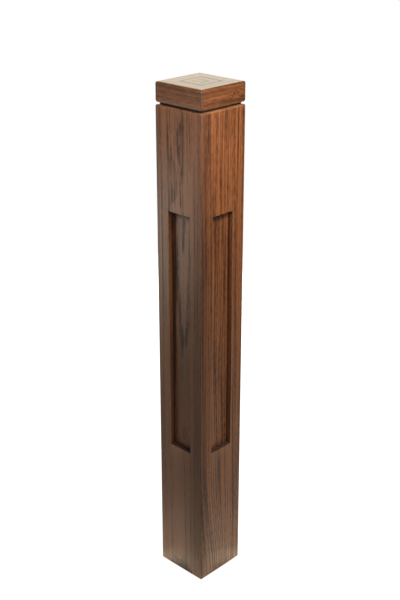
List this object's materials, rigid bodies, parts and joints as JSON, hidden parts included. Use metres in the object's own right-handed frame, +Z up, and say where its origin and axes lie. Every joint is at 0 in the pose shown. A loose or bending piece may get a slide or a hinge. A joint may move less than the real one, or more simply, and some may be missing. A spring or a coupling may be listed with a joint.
{
  "type": "newel post",
  "caption": "Square hollow stair newel post of dark stained oak with one tall recessed panel on each side, a shadow groove and a flat mitred cap.",
  "frame": {"origin": "centre of the post's square footprint, on the floor under its lower edge", "axes": "+Z up along the post; -Y is the front face and +X the right face, as the picture's two visible faces"},
  "size_m": [0.1588, 0.1588, 1.4224],
  "materials": {
    "side_boards": "dark walnut stain on open-grained oak, satin clear coat",
    "panels": "dark walnut stain on flat-sawn oak veneer panel, satin clear coat",
    "neck": "dark walnut stain on oak, satin clear coat",
    "cap": "dark walnut stain on open-grained oak, satin clear coat"
  },
  "bodies": {
    "root": {"side_front": "side_boards", "side_right": "side_boards", "side_back": "side_boards", "side_left": "side_boards", "panel_front": "panels", "panel_right": "panels", "panel_back": "panels", "panel_left": "panels", "neck_plate": "neck", "cap_front": "cap", "cap_right": "cap", "cap_back": "cap", "cap_left": "cap"}
  },
  "joints": []
}
